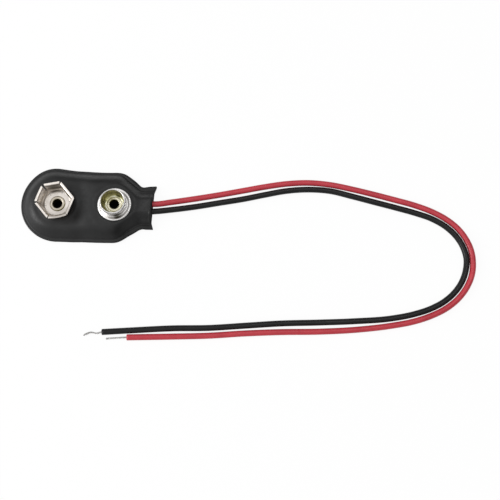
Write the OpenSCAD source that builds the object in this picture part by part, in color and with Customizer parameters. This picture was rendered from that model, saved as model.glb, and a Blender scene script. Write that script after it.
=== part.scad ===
// Battery snap for a nine volt block: a six-petal socket and a round stud, each riveted
// through a soft vinyl cover to a fibre board, with a red and a black lead out of the neck.
// It lies on its back with the contacts up. Lengths are millimetres. The origin is midway
// between the contacts on the flat back face, +X runs along the neck and +Z out of the contacts.

/* [Contacts] */
// Distance between the centres of the two contacts
contact_pitch = 12.7; // [12:0.1:14]
// Height of both contacts above the face of the cover
contact_h = 3; // [2.7:0.1:3.6]
// Thickness of the contacts' sheet metal
contact_t = 0.3; // [0.2:0.05:0.4]

/* [Stud] */
// Diameter of the band that a socket grips
stud_d = 5.72; // [5.6:0.02:6]
// Diameter of the neck below the band
stud_neck_d = 5.38; // [5.3:0.02:5.5]
// Height of the cylindrical band
stud_band_h = 0.9; // [0.5:0.1:1]
// Height from the base to the foot of the band
stud_band_z = 1.3; // [1.1:0.1:1.5]
// Wall of the open cup, measured at the band
stud_wall = 0.36; // [0.3:0.02:0.44]
// Diameter of the base flange
stud_flange_d = 7.6; // [7:0.1:8]

/* [Socket] */
// Width across the flats inside the gripping waist
socket_waist_w = 5.65; // [5.3:0.05:5.8]
// Height from the base to the waist
socket_waist_z = 1.5; // [1.3:0.1:1.8]
// Width across the flats at the top of the flared lip
socket_lip_w = 7.7; // [7.2:0.1:8.2]
// Width across the flats outside the wall, just above its foot bend
socket_foot_w = 6.5; // [6.3:0.05:6.8]
// Inside radius of the foot bend
socket_bend_r = 0.3; // [0.2:0.05:0.5]
// Width of the slits between the petals
socket_slit = 0.3; // [0.2:0.05:0.5]
// Turn of the socket about its own axis, in degrees
socket_turn = 11; // [0:0.5:30]

/* [Rivets] */
// Diameter of the hole through each eyelet
rivet_bore_d = 2.05; // [1.8:0.05:2.2]
// Outside diameter of the barrel
rivet_d = 2.6; // [2.5:0.05:2.8]
// Diameter of the flange inside the contact
rivet_flange_d = 3.5; // [3.2:0.1:4]
// Thickness of the flange
rivet_flange_t = 0.22; // [0.15:0.01:0.3]
// Diameter of the rolled tail under the board
rivet_tail_d = 3.8; // [3.4:0.1:4]
// Height of the rolled tail
rivet_tail_h = 0.3; // [0.2:0.05:0.4]
// Play on diameter round the barrel in every hole that it passes
rivet_play = 0.1; // [0.05:0.05:0.3]

/* [Cover] */
// Width of the cover over its rim
cover_w = 16.5; // [15.5:0.1:19]
// From the centre of the socket to the round end
cover_end = 8.65; // [8.2:0.05:10]
// From the centre of the stud to the cut end of the neck
neck_reach = 8.85; // [8.4:0.05:11]
// Width of the neck
neck_w = 9.5; // [8.5:0.1:10.5]
// Length of the parallel part of the neck
neck_len = 2.1; // [1.8:0.1:3]
// Angle of the shoulders to the sides, in degrees
shoulder_angle = 37; // [32:1:42]
// Outer radius of the shoulders
shoulder_r = 5; // [4.5:0.1:6]
// Inner radius where the shoulders run into the neck
neck_r = 3; // [2:0.1:4]
// Thickness of both vinyl sheets
sheet_t = 0.5; // [0.4:0.05:0.7]
// Width of the welded rim, from the edge to the foot of the raised face
rim_w = 1.2; // [1:0.05:1.5]
// Width of the pressed groove inside the rim's bead
groove_w = 0.2; // [0.1:0.05:0.4]
// Height of the rim's bead above the groove
bead_h = 0.3; // [0.1:0.05:0.5]
// Distance over which the face rises from the groove
rise_w = 2.4; // [2:0.1:2.6]
// Rounding of the edge of the back
back_edge = 0.3; // [0.1:0.05:0.35]

/* [Board] */
// Thickness of the fibre board that carries the contacts
board_t = 0.65; // [0.5:0.05:1]
// Room between the edge of the board and the inner wall of the raised face
board_gap = 0.2; // [0.1:0.05:0.4]

/* [Leads] */
// Diameter of each lead over its insulation
lead_d = 1.35; // [1.1:0.05:1.4]
// Diameter of the stripped conductor
wire_d = 0.45; // [0.3:0.05:0.6]
// Room above the leads, under the board and under the roof of the neck
lead_room = 0.1; // [0.05:0.05:0.3]
// Length of stripped conductor between each lead and its solder
joint_len = 2.1; // [2:0.05:2.3]

/* [Hidden] */

$fn = 64;
lead_sides = 8;
petals = 6;
past = 1;

// Heights of the stack, from the back face up
cavity_h = lead_d + lead_room;
board_z = sheet_t + cavity_h;
roof_z = board_z + board_t;
face_z = roof_z + sheet_t;
floor_z = face_z + contact_t;
rim_z = 2 * sheet_t;

// Stations along the part
socket_x = -contact_pitch / 2;
stud_x = contact_pitch / 2;
neck_x = stud_x + neck_reach;
end_r = cover_w / 2;
end_x = socket_x - cover_end + end_r;

// Shoulder arcs, tangent to the side, to a diagonal and to the neck
arcs_r = shoulder_r + neck_r;
diagonal_h = end_r - neck_w / 2 - arcs_r * (1 - cos(shoulder_angle));
fillet_x = neck_x - neck_len;
shoulder_x = fillet_x - arcs_r * sin(shoulder_angle) - diagonal_h / tan(shoulder_angle);

// The face is level to just past the stud, then settles over the end of the board
face_margin = 0.2;
settle_x = stud_x + stud_flange_d / 2 + face_margin;
settle_drop = board_t - lead_room / 2;
face_inset = rim_w + rise_w;

// Round ends of the board, the right one beside the diagonals
board_r = end_r - face_inset - board_gap;
diagonal_reach = shoulder_x * sin(shoulder_angle) + (end_r - shoulder_r) * cos(shoulder_angle)
                 + shoulder_r;
board_right_x = (diagonal_reach - face_inset - board_gap - board_r) / sin(shoulder_angle);

// Leads: heights of their middles in the cover and on the table
lead_in_z = sheet_t + cavity_h / 2;
lead_rest_z = lead_d / 2 * cos(180 / lead_sides);
wire_rest_z = wire_d / 2;
joint_x = rivet_tail_d / 2 + joint_len;
solder_r = lead_d / 2;

// Routes from the joint to the cut end: x, y and the share of the height in the cover
red_route = [
    [socket_x + joint_x, 0.8, 1], [socket_x + 7, 2, 1], [stud_x - 2.5, 3, 1], [stud_x + 1, 2.8, 1],
    [stud_x + 4, 1.5, 1], [neck_x - 2.2, 0.9, 1], [neck_x, 0.8, 1], [19, 1.4, 0.6], [24, 2.3, 0.1],
    [30, 3.4, 0], [35, 4.4, 0], [40, 5.4, 0], [45, 6.2, 0], [50, 6.5, 0], [55, 6.1, 0], [60, 5.1, 0],
    [65, 3.9, 0], [70, 2.6, 0], [74, 1.5, 0], [78, 0, 0], [81.1, -1.7, 0], [83.7, -3.9, 0],
    [85.4, -6.3, 0], [86.4, -8.8, 0], [86.7, -11.3, 0], [86.4, -14.1, 0], [85.1, -17.2, 0],
    [83.2, -19.7, 0], [80.4, -22, 0], [77.1, -23.7, 0], [73, -25.1, 0], [68, -26.1, 0], [60, -27.1, 0],
    [52, -27.6, 0], [44, -27.8, 0], [36, -28.2, 0], [28, -28.8, 0], [20, -29.1, 0], [10.2, -29.4, 0]];
black_route = [
    [stud_x + joint_x, -0.5, 1], [stud_x + 5.5, -0.8, 1], [neck_x - 2.2, -1, 1], [neck_x, -0.9, 1],
    [19, -0.4, 0.6], [24, 0.4, 0.1], [30, 1.5, 0], [35, 2.4, 0], [40, 3.5, 0], [45, 4.5, 0],
    [50, 4.9, 0], [55, 4.6, 0], [60, 3.4, 0], [65, 2.1, 0], [70, 0.8, 0], [74, -0.3, 0], [78, -1.7, 0],
    [80.9, -3.4, 0], [83.1, -5.5, 0], [84.6, -8, 0], [85.3, -10.8, 0], [85, -13.5, 0],
    [83.9, -16.3, 0], [82.2, -18.6, 0], [80, -20.5, 0], [77.1, -22.1, 0], [73, -23.5, 0],
    [68, -24.5, 0], [60, -25.2, 0], [52, -25.6, 0], [44, -25.9, 0], [36, -26.5, 0], [28, -27.1, 0],
    [20, -27.3, 0], [12, -27.8, 0], [4.7, -28.3, 0]];

// Stripped ends, from the insulation to the tip: x, y and the share of the lead's height
red_tip = [[10.2, -29.4, 1], [8.5, -29.5, 0.8], [5.6, -29.7, 0]];
black_tip = [[4.7, -28.3, 1], [3.6, -28.6, 0.8], [2.2, -28.4, 0.4], [1.3, -28.7, 0.2], [0.6, -29.1, 0]];

function mix(low, high, share) = low + (high - low) * share;
function unit(v) = v / norm(v);
function limit(value) = min(1, max(0, value));
function arc(centre, r, from, to, steps) =
    [for (i = [0 : steps]) centre + r * [cos(mix(from, to, i / steps)), sin(mix(from, to, i / steps))]];

function lead_path(route) = [for (p = route) [p.x, p.y, mix(lead_rest_z, lead_in_z, p.z)]];
function wire_path(route) = [for (p = route) [p.x, p.y, mix(wire_rest_z, lead_rest_z, p.z)]];
function heading(path, i) = unit(path[min(i + 1, len(path) - 1)] - path[max(i - 1, 0)]);

// Upper half of the cover's outline, moved in by inset, from the round end to the neck
function half_outline(inset, last_x) = concat(
    arc([end_x, 0], end_r - inset, 180, 90, 14),
    arc([shoulder_x, end_r - shoulder_r], shoulder_r - inset, 90, 90 - shoulder_angle, 5),
    arc([fillet_x, neck_w / 2 + neck_r], neck_r + inset, 270 - shoulder_angle, 270, 5),
    [[last_x, neck_w / 2 - inset]]);

// Height of a cover level at x: what stands above low sinks past the stud, the top most
function settled(z, low, top, x) =
    z - settle_drop * limit((z - low) / (top - low)) * max(0, (x - settle_x) / (neck_x - settle_x));

// Closed ring of a cover level, the upper half and then its mirror image back again
function ring(level, low, top, last_x) =
    let (half = half_outline(level[0], last_x), last = len(half) - 1)
    concat([for (p = half) [p.x, p.y, settled(level[1], low, top, p.x)]],
           [for (i = [last : -1 : 1]) [half[i].x, -half[i].y, settled(level[1], low, top, half[i].x)]]);

// Solid through a stack of cover levels, each an inset and a height, square at last_x
module loft(levels, low, top, last_x) {
    rings = [for (level = levels) ring(level, low, top, last_x)];
    count = len(rings[0]);
    half = (count + 1) / 2;
    last = len(levels) - 1;
    sides = [for (k = [0 : last - 1], i = [0 : count - 1]) if (i != half - 1)
        let (a = k * count + i, b = k * count + (i + 1) % count)
        each [[a, b, b + count], [a, b + count, a + count]]];
    strips = concat([[0, 1, count - 1]],
                    [for (j = [1 : half - 2]) [j, j + 1, count - j - 1, count - j]]);
    floor_faces = [for (s = strips) [for (i = [len(s) - 1 : -1 : 0]) s[i]]];
    roof_faces = [for (s = strips) [for (i = s) i + last * count]];
    neck_face = concat([for (k = [0 : last]) k * count + half],
                       [for (k = [last : -1 : 0]) k * count + half - 1]);
    polyhedron([for (r = rings) each r], concat(sides, floor_faces, roof_faces, [neck_face]));
}

// Round tube swept along a path, with a flat under it, its first end square to first_ahead
module tube(path, d, first_ahead) {
    turn = 360 / lead_sides;
    points = [for (i = [0 : len(path) - 1])
        let (ahead = i == 0 ? first_ahead : heading(path, i),
             right = unit(cross(ahead, [0, 0, 1])), above = cross(right, ahead))
        each [for (k = [0 : lead_sides - 1])
            path[i] + d / 2 * (cos((k + 0.5) * turn) * right + sin((k + 0.5) * turn) * above)]];
    walls = [for (i = [0 : len(path) - 2], k = [0 : lead_sides - 1])
        let (a = i * lead_sides + k, b = i * lead_sides + (k + 1) % lead_sides)
        each [[a, b, b + lead_sides], [a, b + lead_sides, a + lead_sides]]];
    first_face = [for (k = [lead_sides - 1 : -1 : 0]) k];
    last_face = [for (k = [0 : lead_sides - 1]) (len(path) - 1) * lead_sides + k];
    polyhedron(points, concat(walls, [first_face], [last_face]));
}

module lead(route) {
    path = lead_path(route);
    tube(path, lead_d, heading(path, 0));
}

// Stripped end that leaves the cut face of a lead squarely
module bare_end(route, tip) {
    path = lead_path(route);
    tube(wire_path(tip), wire_d, heading(path, len(path) - 1));
}

// Outer surface of the front sheet: edge, bead, groove and raised face
bead_w = rim_w - groove_w;
front_levels = concat(
    [[0, sheet_t]],
    [for (a = [0 : 45 : 180]) [bead_w / 2 * (1 - cos(a)), rim_z + bead_h * sin(a)]],
    [for (a = [0 : 18 : 90]) [rim_w + rise_w * (1 - cos(a)), rim_z + (face_z - rim_z) * sin(a)]]);

// Inner surface of the front sheet, one sheet inside the raised face
cavity_levels = concat(
    [[rim_w + sheet_t, sheet_t - past]],
    [for (a = [0 : 18 : 90])
        [face_inset - (rise_w - sheet_t) * cos(a), rim_z + (roof_z - rim_z) * sin(a)]]);

// Surface of the rear sheet, from its flat back up round the edge
rear_levels = concat(
    [for (a = [90 : -45 : 0]) [back_edge * (1 - cos(a)), back_edge * (1 - sin(a))]],
    [[0, sheet_t]]);

module at_contacts() {
    for (x = [socket_x, stud_x]) translate([x, 0, 0]) children();
}

module rivet_holes() {
    at_contacts() translate([0, 0, board_z - past])
        cylinder(d = rivet_d + rivet_play, h = floor_z - board_z + 2 * past);
}

module rear_cover() {
    color([0.13, 0.13, 0.13]) loft(rear_levels, sheet_t, face_z, neck_x);
}

module front_cover() {
    color([0.16, 0.16, 0.16]) difference() {
        loft(front_levels, rim_z, face_z, neck_x + past);
        loft(cavity_levels, rim_z, roof_z, neck_x + 2 * past);
        rivet_holes();
        translate([neck_x, -cover_w / 2, 0]) cube([3 * past, cover_w, floor_z]);
    }
}

module contact_board() {
    color([0.45, 0.3, 0.18]) difference() {
        translate([0, 0, board_z]) linear_extrude(board_t) union() {
            translate([end_x, 0]) circle(r = board_r);
            translate([board_right_x, 0]) circle(r = board_r);
            translate([end_x, -board_r]) square([board_right_x - end_x, 2 * board_r]);
        }
        rivet_holes();
    }
}

// Middle line of a petal, out along the floor, round the bend, in to the waist and out to the lip
bend_mid_r = socket_bend_r + contact_t / 2;
foot_mid_r = socket_foot_w / 2 - contact_t / 2;
waist_mid_r = socket_waist_w / 2 + contact_t / 2;
lip_mid_r = socket_lip_w / 2 - contact_t / 2;
bend_x = foot_mid_r - bend_mid_r;
bend_top = contact_t / 2 + bend_mid_r;
petal_line = concat(
    [[rivet_flange_d / 2, contact_t / 2]],
    arc([bend_x, bend_top], bend_mid_r, -90, 0, 4),
    [for (s = [0.25 : 0.25 : 1])
        [mix(waist_mid_r, foot_mid_r, pow(1 - s, 2)), mix(bend_top, socket_waist_z, s)]],
    [for (s = [0.2 : 0.2 : 1])
        [mix(waist_mid_r, lip_mid_r, pow(s, 2)), mix(socket_waist_z, contact_h - contact_t / 2, s)]]);

function normal_at(line, i) =
    let (v = unit(line[min(i + 1, len(line) - 1)] - line[max(i - 1, 0)])) [-v.y, v.x];
function thick(line, t) = concat(
    [for (i = [0 : len(line) - 1]) line[i] + t / 2 * normal_at(line, i)],
    [for (i = [len(line) - 1 : -1 : 0]) line[i] - t / 2 * normal_at(line, i)]);

// One petal facing +X, its sides cut along the slits
module petal() {
    slit_x = socket_slit / 2 / sin(180 / petals);
    tip = socket_lip_w;
    side = (tip - slit_x) * tan(180 / petals);
    intersection() {
        rotate([90, 0, 0]) linear_extrude(2 * side, center = true) polygon(thick(petal_line, contact_t));
        translate([0, 0, -past]) linear_extrude(contact_h + 2 * past)
            polygon([[slit_x, 0], [tip, -side], [tip, side]]);
    }
}

module socket_contact() {
    color([0.8, 0.78, 0.75]) difference() {
        translate([socket_x, 0, face_z]) rotate([0, 0, socket_turn]) {
            cylinder(r = bend_x, h = contact_t);
            for (i = [0 : petals - 1]) rotate([0, 0, (i + 0.5) * 360 / petals]) petal();
        }
        rivet_holes();
    }
}

// Half section of the stud: base flange, neck, band, rolled rim and open cup
stud_in_r = stud_d / 2 - stud_wall;
rim_mid_r = stud_d / 2 - stud_wall / 2;
band_top = stud_band_z + stud_band_h;
foot_r = 0.25;
rim_dip = 0.15;
stud_section = concat(
    [[0, 0], [stud_flange_d / 2, 0], [stud_flange_d / 2, contact_t]],
    arc([stud_neck_d / 2 + foot_r, contact_t + foot_r], foot_r, 270, 180, 4),
    [[stud_neck_d / 2, mix(contact_t, stud_band_z, 0.7)], [stud_d / 2, stud_band_z]],
    [for (a = [0 : 18 : 90]) [mix(rim_mid_r, stud_d / 2, cos(a)), mix(band_top, contact_h, sin(a))]],
    [[stud_in_r, contact_h - rim_dip]],
    arc([stud_in_r - foot_r, contact_t + foot_r], foot_r, 0, -90, 4),
    [[0, contact_t]]);

module stud_contact() {
    color([0.82, 0.81, 0.78]) difference() {
        translate([stud_x, 0, face_z]) rotate_extrude() polygon(stud_section);
        rivet_holes();
    }
}

// Half section of an eyelet: rolled tail, barrel and flange, with flared ends to its hole
bore_r = rivet_bore_d / 2;
barrel_r = rivet_d / 2;
edge_r = 0.1;
flare_r = 0.2;
tail_z = board_z - rivet_tail_h;
flange_z = floor_z + rivet_flange_t;
rivet_section = concat(
    arc([rivet_tail_d / 2 - edge_r, tail_z + edge_r], edge_r, 270, 360, 3),
    [[rivet_tail_d / 2, board_z], [barrel_r, board_z], [barrel_r, floor_z], [rivet_flange_d / 2, floor_z]],
    arc([rivet_flange_d / 2 - edge_r, flange_z - edge_r], edge_r, 0, 90, 3),
    arc([bore_r + flare_r, flange_z - flare_r], flare_r, 90, 180, 4),
    arc([bore_r + flare_r, tail_z + flare_r], flare_r, 180, 270, 4));

module rivet(x) {
    color([0.8, 0.68, 0.4]) translate([x, 0, 0]) rotate_extrude() polygon(rivet_section);
}

module socket_rivet() { rivet(socket_x); }
module stud_rivet() { rivet(stud_x); }

module red_lead() {
    color([0.75, 0.1, 0.13]) lead(red_route);
}

module black_lead() {
    color([0.1, 0.1, 0.1]) lead(black_route);
}

module red_bare_end() {
    color([0.75, 0.75, 0.75]) bare_end(red_route, red_tip);
}

module black_bare_end() {
    color([0.75, 0.75, 0.75]) bare_end(black_route, black_tip);
}

// Stripped conductor running on from a lead's inner end, straight under the rivet's tail
module joint_wire(route) {
    path = lead_path(route);
    back = -heading(path, 0);
    translate(path[0]) rotate([0, 90, atan2(back.y, back.x)]) cylinder(d = wire_d, h = joint_len);
}

module red_joint_end() {
    color([0.75, 0.75, 0.75]) joint_wire(red_route);
}

module black_joint_end() {
    color([0.75, 0.75, 0.75]) joint_wire(black_route);
}

// Bead of solder round the end of a joint wire, against the tail
module solder(route, x) {
    path = lead_path(route);
    bead = path[0] - joint_len * heading(path, 0);
    color([0.7, 0.7, 0.7]) difference() {
        translate(bead) sphere(r = solder_r);
        translate([x, 0, tail_z]) cylinder(d = rivet_tail_d, h = rivet_tail_h + past);
        joint_wire(route);
    }
}

module red_solder() { solder(red_route, socket_x); }
module black_solder() { solder(black_route, stud_x); }

rear_cover();
front_cover();
contact_board();
socket_contact();
stud_contact();
socket_rivet();
stud_rivet();
red_lead();
black_lead();
red_bare_end();
black_bare_end();
red_joint_end();
black_joint_end();
red_solder();
black_solder();
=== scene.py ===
import math

import bmesh
import bpy
import numpy as np
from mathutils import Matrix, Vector, noise


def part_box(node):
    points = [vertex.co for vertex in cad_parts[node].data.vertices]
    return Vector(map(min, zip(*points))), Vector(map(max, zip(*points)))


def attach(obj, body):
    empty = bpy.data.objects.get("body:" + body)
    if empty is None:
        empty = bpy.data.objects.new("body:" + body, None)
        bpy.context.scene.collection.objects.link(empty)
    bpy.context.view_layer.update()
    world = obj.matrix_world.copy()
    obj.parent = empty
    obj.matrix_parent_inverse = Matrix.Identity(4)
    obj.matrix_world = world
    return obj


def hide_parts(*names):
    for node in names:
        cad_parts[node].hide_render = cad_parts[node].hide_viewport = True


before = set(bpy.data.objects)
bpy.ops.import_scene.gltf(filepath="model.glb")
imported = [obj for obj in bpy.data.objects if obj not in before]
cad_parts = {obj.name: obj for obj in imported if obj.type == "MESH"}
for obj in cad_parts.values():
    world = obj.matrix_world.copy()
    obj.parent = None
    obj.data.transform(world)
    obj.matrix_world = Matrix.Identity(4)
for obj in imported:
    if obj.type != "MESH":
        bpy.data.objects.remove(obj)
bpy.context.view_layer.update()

# Everything below is worked out in millimetres, and a mesh is made in metres
MM = 0.001
SCENE = bpy.context.scene


def node_box(node):
    low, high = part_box(node)
    return np.array(low) / MM, np.array(high) / MM


# Sizes that the frame gives
cover_low, cover_high = node_box("front_cover")
stud_low, stud_high = node_box("stud_contact")
rivet_low, rivet_high = node_box("stud_rivet")
STUD_X = (stud_low[0] + stud_high[0]) / 2
SOCKET_X = -STUD_X
NECK_X = cover_high[0]
WELD_Z = cover_low[2]
FACE_Z = cover_high[2]
END_R = cover_high[1]
END_X = cover_low[0] + END_R

# Sizes of the cover that a box doesn't show
SHEET_T = 0.5
RIM_W = 1.2
RIM_Z = 2 * SHEET_T
RISE_W = 2.4
BEAD_H = 0.12
NECK_W = 9.5
NECK_LEN = 2.1
NECK_R = 3.0
SHOULDER_R = 5.0
SHOULDER_ANGLE = 37
CONTACT_T = 0.3

# Camera at the photograph's viewing angle; the nearest and farthest that it sees are in metres
CAMERA_TARGET = np.array([36.85, -9.29, 0.0])
CAMERA_AZIMUTH = math.radians(0.76)
CAMERA_ELEVATION = math.radians(76.8)
CAMERA_DISTANCE = 170.0
CAMERA_LENS = 54.35
CAMERA_NEAR = 0.01
CAMERA_FAR = 20


def make_camera():
    back = Vector((math.cos(CAMERA_ELEVATION) * math.sin(CAMERA_AZIMUTH),
                   -math.cos(CAMERA_ELEVATION) * math.cos(CAMERA_AZIMUTH),
                   math.sin(CAMERA_ELEVATION)))
    data = bpy.data.cameras.new("camera")
    data.lens = CAMERA_LENS
    data.clip_start = CAMERA_NEAR
    data.clip_end = CAMERA_FAR
    camera = bpy.data.objects.new("camera", data)
    camera.location = (Vector(CAMERA_TARGET) + back * CAMERA_DISTANCE) * MM
    camera.rotation_mode = "QUATERNION"
    camera.rotation_quaternion = (-back).to_track_quat("-Z", "Y")
    SCENE.collection.objects.link(camera)
    SCENE.camera = camera


make_camera()


# Share that goes smoothly from 0 at low to 1 at high
def smoothstep(low, high, value):
    share = np.clip((value - low) / (high - low), 0, 1)
    return share * share * (3 - 2 * share)


# Bell curve of height 1 round a centre
def hump(centre, width, value):
    return np.exp(-((value - centre) / width) ** 2)


def new_object(name, points, faces):
    mesh = bpy.data.meshes.new(name)
    mesh.from_pydata([tuple(p) for p in np.asarray(points) * MM], [], faces)
    mesh.update()
    obj = bpy.data.objects.new(name, mesh)
    SCENE.collection.objects.link(obj)
    return obj


# Points nearer to each other than this become one
MERGE = 0.0005


def clean(obj):
    made = bmesh.new()
    made.from_mesh(obj.data)
    bmesh.ops.remove_doubles(made, verts=made.verts, dist=MERGE * MM)
    bmesh.ops.recalc_face_normals(made, faces=made.faces)
    made.to_mesh(obj.data)
    made.free()


def apply_modifiers(obj):
    graph = bpy.context.evaluated_depsgraph_get()
    mesh = bpy.data.meshes.new_from_object(obj.evaluated_get(graph))
    obj.modifiers.clear()
    old = obj.data
    obj.data = mesh
    bpy.data.meshes.remove(old)
    mesh.name = obj.name


# Angles in degrees from which an edge stays sharp
LEAD_SHARP = 50
SHEET_SHARP = 60
BACK_SHARP = 40
TURNED_SHARP = 45
PETAL_SHARP = 40


def shade(obj, sharp_angle):
    obj.data.shade_smooth()
    obj.data.set_sharp_from_angle(angle=math.radians(sharp_angle))


def dress(obj, material, slot, *nodes):
    obj.data.materials.clear()
    obj.data.materials.append(material)
    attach(obj, "root")
    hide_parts(*nodes)


# Smooth curve through points: cubic pieces with the slope of the neighbours' chord
def smooth_path(points, step):
    points = np.asarray(points, float)
    gaps = np.linalg.norm(np.diff(points, axis=0), axis=1)
    at = np.r_[0, np.cumsum(gaps)]
    slopes = np.gradient(points, at, axis=0)
    path = []
    for i, gap in enumerate(gaps):
        count = max(2, int(math.ceil(gap / step)))
        for t in np.arange(count) / count:
            path.append((2 * t**3 - 3 * t**2 + 1) * points[i] + (3 * t**2 - 2 * t**3) * points[i + 1]
                        + gap * ((t**3 - 2 * t**2 + t) * slopes[i] + (t**3 - t**2) * slopes[i + 1]))
    path.append(points[-1])
    return np.array(path)


# Unit vectors along a path, and a pair across it that doesn't twist
def path_frames(path):
    ahead = np.gradient(path, axis=0)
    ahead /= np.linalg.norm(ahead, axis=1)[:, None]
    side = np.cross(ahead[0], [0, 0, 1.0])
    sides = []
    for way in ahead:
        side = side - way * side.dot(way)
        side /= np.linalg.norm(side)
        sides.append(side)
    sides = np.array(sides)
    return ahead, sides, np.cross(sides, ahead)


# Round tube along a path, with a radius for every point and both ends closed
def tube_mesh(path, radii, sides):
    _, across, above = path_frames(path)
    angles = 2 * math.pi * np.arange(sides) / sides
    wheel = np.cos(angles)[None, :, None] * across[:, None] + np.sin(angles)[None, :, None] * above[:, None]
    points = (path[:, None] + np.asarray(radii)[:, None, None] * wheel).reshape(-1, 3)
    faces = []
    for i in range(len(path) - 1):
        for k in range(sides):
            a = i * sides + k
            b = i * sides + (k + 1) % sides
            faces.append((a, b, b + sides, a + sides))
    faces.append(tuple(range(sides - 1, -1, -1)))
    faces.append(tuple((len(path) - 1) * sides + k for k in range(sides)))
    return points, faces


# Leads: the routes of the part's source, as x, y and the share of the height inside the cover
LEAD_D = 1.35
WIRE_D = 0.45
LEAD_IN_Z = 1.225
LEAD_REST_Z = LEAD_D / 2
WIRE_REST_Z = WIRE_D / 2
RED_ROUTE = [
    (SOCKET_X + 4, 0.8, 1), (SOCKET_X + 7, 2, 1), (STUD_X - 2.5, 3, 1), (STUD_X + 1, 2.8, 1),
    (STUD_X + 4, 1.5, 1), (NECK_X - 2.2, 0.9, 1), (NECK_X, 0.8, 1), (19, 1.4, 0.6), (24, 2.3, 0.1),
    (30, 3.4, 0), (35, 4.4, 0), (40, 5.4, 0), (45, 6.2, 0), (50, 6.5, 0), (55, 6.1, 0), (60, 5.1, 0),
    (65, 3.9, 0), (70, 2.6, 0), (74, 1.5, 0), (78, 0, 0), (81.1, -1.7, 0), (83.7, -3.9, 0),
    (85.4, -6.3, 0), (86.4, -8.8, 0), (86.7, -11.3, 0), (86.4, -14.1, 0), (85.1, -17.2, 0),
    (83.2, -19.7, 0), (80.4, -22, 0), (77.1, -23.7, 0), (73, -25.1, 0), (68, -26.1, 0), (60, -27.1, 0),
    (52, -27.6, 0), (44, -27.8, 0), (36, -28.2, 0), (28, -28.8, 0), (20, -29.1, 0), (10.2, -29.4, 0)]
BLACK_ROUTE = [
    (STUD_X + 4, -0.5, 1), (STUD_X + 5.5, -0.8, 1), (NECK_X - 2.2, -1, 1), (NECK_X, -0.9, 1),
    (19, -0.4, 0.6), (24, 0.4, 0.1), (30, 1.5, 0), (35, 2.4, 0), (40, 3.5, 0), (45, 4.5, 0),
    (50, 4.9, 0), (55, 4.6, 0), (60, 3.4, 0), (65, 2.1, 0), (70, 0.8, 0), (74, -0.3, 0), (78, -1.7, 0),
    (80.9, -3.4, 0), (83.1, -5.5, 0), (84.6, -8, 0), (85.3, -10.8, 0), (85, -13.5, 0),
    (83.9, -16.3, 0), (82.2, -18.6, 0), (80, -20.5, 0), (77.1, -22.1, 0), (73, -23.5, 0),
    (68, -24.5, 0), (60, -25.2, 0), (52, -25.6, 0), (44, -25.9, 0), (36, -26.5, 0), (28, -27.1, 0),
    (20, -27.3, 0), (12, -27.8, 0), (4.7, -28.3, 0)]
RED_TIP = [(10.2, -29.4, 1), (8.5, -29.5, 0.8), (5.6, -29.7, 0)]
BLACK_TIP = [(4.7, -28.3, 1), (3.6, -28.6, 0.8), (2.2, -28.4, 0.4), (1.3, -28.7, 0.2), (0.6, -29.1, 0)]
LEAD_SIDES = 28
LEAD_STEP = 0.8
CUT_EDGE = 0.08


def lead_path(route):
    points = [(x, y, LEAD_REST_Z + (LEAD_IN_Z - LEAD_REST_Z) * share) for x, y, share in route]
    return smooth_path(points, LEAD_STEP)


# Insulation of a lead, with its cut ends drawn in a little at the edge
def make_lead(name, path):
    ahead, _, _ = path_frames(path)
    first = [path[0], path[0] + CUT_EDGE * ahead[0]]
    last = [path[-1] - CUT_EDGE * ahead[-1], path[-1]]
    whole = np.vstack([first, path[1:-1], last])
    radii = np.full(len(whole), LEAD_D / 2)
    radii[[0, -1]] -= CUT_EDGE
    points, faces = tube_mesh(whole, radii, LEAD_SIDES)
    obj = new_object(name, points, faces)
    clean(obj)
    shade(obj, LEAD_SHARP)
    return obj


# Stripped end: a core strand and six round it, twisted, a little loose towards the tip
STRAND_D = 0.13
STRAND_TURN = 2.4
STRAND_SIDES = 10
STRANDS_ROUND = 6
STRAND_PITCH = STRAND_D * 0.92
STRAND_STEP = 0.12
STRAND_INSIDE = 1.2
STRAND_SHORT = 5
LOOSE_LEAST = 0.2
LOOSE_FROM = 0.55


def make_strands(name, tip, lead, seed, spread):
    points = [(x, y, WIRE_REST_Z + (LEAD_REST_Z - WIRE_REST_Z) * share) for x, y, share in tip]
    points[0] = tuple(lead[-1])
    way = lead[-1] - lead[-2]
    before = lead[-1] - STRAND_INSIDE * way / np.linalg.norm(way)
    core = smooth_path([tuple(before)] + points, STRAND_STEP)
    along = np.r_[0, np.cumsum(np.linalg.norm(np.diff(core, axis=0), axis=1))]
    _, across, above = path_frames(core)
    draw = np.random.default_rng(seed)
    points, faces = [], []
    for k in range(STRANDS_ROUND + 1):
        reach = len(core) - (0 if k == 0 else int(draw.integers(0, STRAND_SHORT)))
        loose = 1 + spread * draw.uniform(LOOSE_LEAST, 1) * smoothstep(LOOSE_FROM, 1, along / along[-1])
        off = 0 if k == 0 else STRAND_PITCH * loose
        angle = 2 * math.pi * (k / STRANDS_ROUND + along / STRAND_TURN)
        line = core + (off * np.cos(angle))[:, None] * across + (off * np.sin(angle))[:, None] * above
        line[:, 2] = np.maximum(line[:, 2], STRAND_D / 2)
        line = line[:reach]
        radii = np.full(len(line), STRAND_D / 2)
        made, walls = tube_mesh(line, radii, STRAND_SIDES)
        faces += [tuple(i + len(points) for i in wall) for wall in walls]
        points += list(made)
    obj = new_object(name, points, faces)
    clean(obj)
    shade(obj, LEAD_SHARP)
    return obj


# Materials; most of a noise's values lie between these two
NOISE_LOW = 0.3
NOISE_HIGH = 0.7


def new_material(name):
    material = bpy.data.materials.new(name)
    material.use_nodes = True
    return material, material.node_tree, material.node_tree.nodes["Principled BSDF"]


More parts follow.
